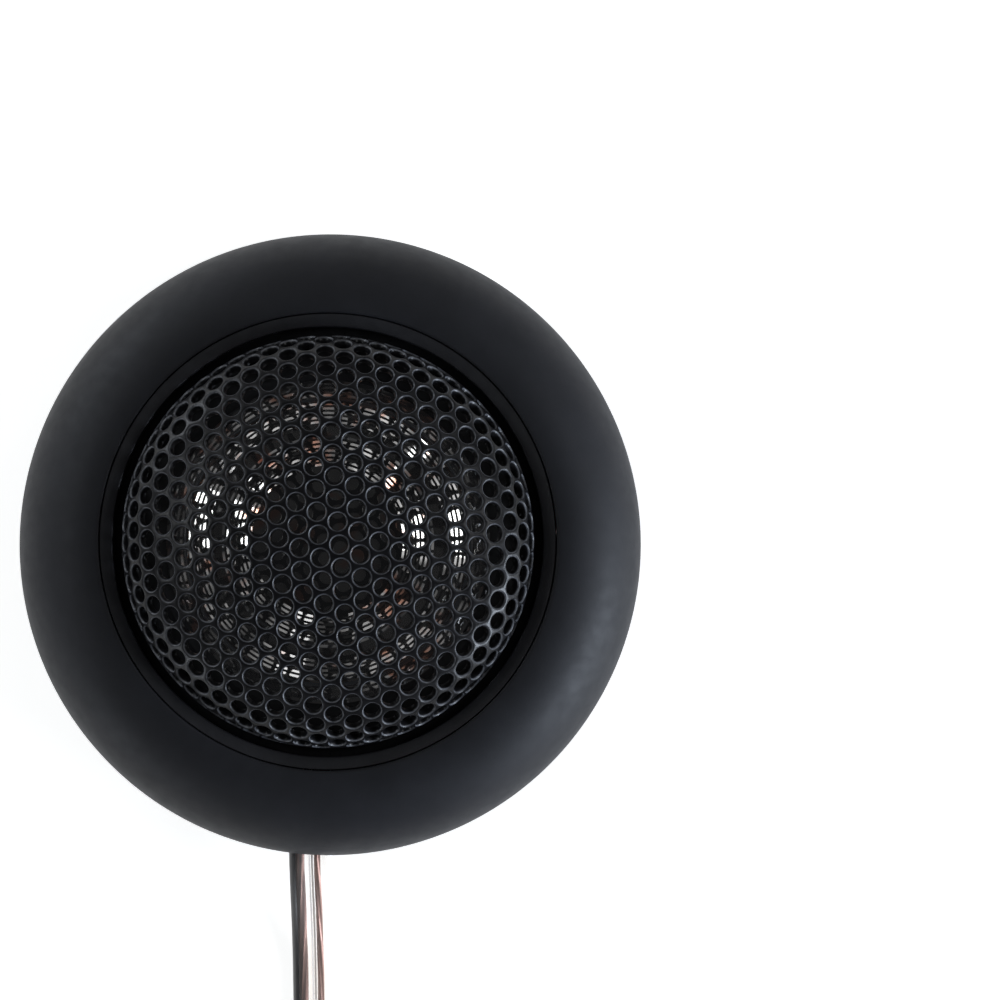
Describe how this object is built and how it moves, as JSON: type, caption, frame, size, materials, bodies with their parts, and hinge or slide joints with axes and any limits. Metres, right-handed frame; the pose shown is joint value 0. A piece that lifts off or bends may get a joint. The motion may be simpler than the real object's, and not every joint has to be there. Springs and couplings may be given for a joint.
{
  "type": "car tweeter",
  "caption": "Round surface-mount tweeter: convex trim ring that twists off, domed perforated grille, ribbed film diaphragm with voice coil, series capacitor, flat clear twin lead.",
  "frame": {"origin": "centre of the tweeter's round outline, on the surface that its foam pad rests on", "axes": "+Z along the tweeter's axis, out of the grille; the lead leaves towards -Y; +X to the right seen from the front with the lead at the bottom"},
  "size_m": [0.073, 0.1259, 0.0201],
  "materials": {
    "foam": "matte closed-cell foam",
    "base_black": "moulded, fine texture",
    "trim_black": "moulded, fine satin texture",
    "rim_black": "moulded, smooth",
    "grille_black": "satin black paint",
    "cup_black": "moulded, smooth",
    "film": "clear formed film",
    "former": "thin amber film",
    "copper": "enamelled copper wire",
    "felt": "felt",
    "steel": "turned, zinc plated",
    "nickel": "nickel plated",
    "brass": "tinned brass strip",
    "solder": "bright solder",
    "aluminium": "drawn can",
    "sleeve_blue": "shrunk sleeve",
    "rubber_black": "moulded",
    "tinned_wire": "tinned wire",
    "wire_red": "extruded insulation",
    "wire_black": "extruded insulation",
    "screw_steel": "zinc plated",
    "clear_pvc": "clear jacket over copper strands",
    "tie_black": "moulded nylon"
  },
  "bodies": {
    "driver": {"mounting_pad": "foam", "mounting_base": "base_black", "front_rim": "rim_black", "grille": "grille_black", "rear_cup": "cup_black", "retaining_ring": "cup_black", "diaphragm_ring": "cup_black", "surround": "film", "damping_pad": "felt", "top_plate": "steel", "magnet": "nickel", "yoke": "steel", "terminal_positive": "brass", "terminal_negative": "brass", "solder_joints": "solder", "coil_lead_positive": "copper", "coil_lead_negative": "copper", "capacitor_can": "aluminium", "capacitor_sleeve": "sleeve_blue", "capacitor_bung": "rubber_black", "capacitor_leads": "tinned_wire", "hookup_wire_positive": "wire_red", "hookup_wire_negative": "wire_black", "strain_relief": "rubber_black", "cable_clamp": "base_black", "case_screws": "screw_steel", "cable": "clear_pvc", "cable_coil": "clear_pvc", "cable_tie": "tie_black", "lead_end_positive": "clear_pvc", "lead_end_negative": "clear_pvc"},
    "trim_ring": {"bezel_ring": "trim_black"},
    "diaphragm": {"dome": "film", "voice_coil_former": "former", "voice_coil": "copper"}
  },
  "joints": [
    {"name": "bezel_twist", "type": "hinge", "parent": "driver", "child": "trim_ring", "pos_m": [0, 0, 0.008], "axis": [0, 0, 1], "range_deg": [0, 16]},
    {"name": "diaphragm_travel", "type": "slide", "parent": "driver", "child": "diaphragm", "axis": [0, 0, 1], "range_m": [-0.0003, 0.0003], "stiffness_N_per_m": 2000, "deforming": ["surround", "coil_lead_positive", "coil_lead_negative"]}
  ]
}
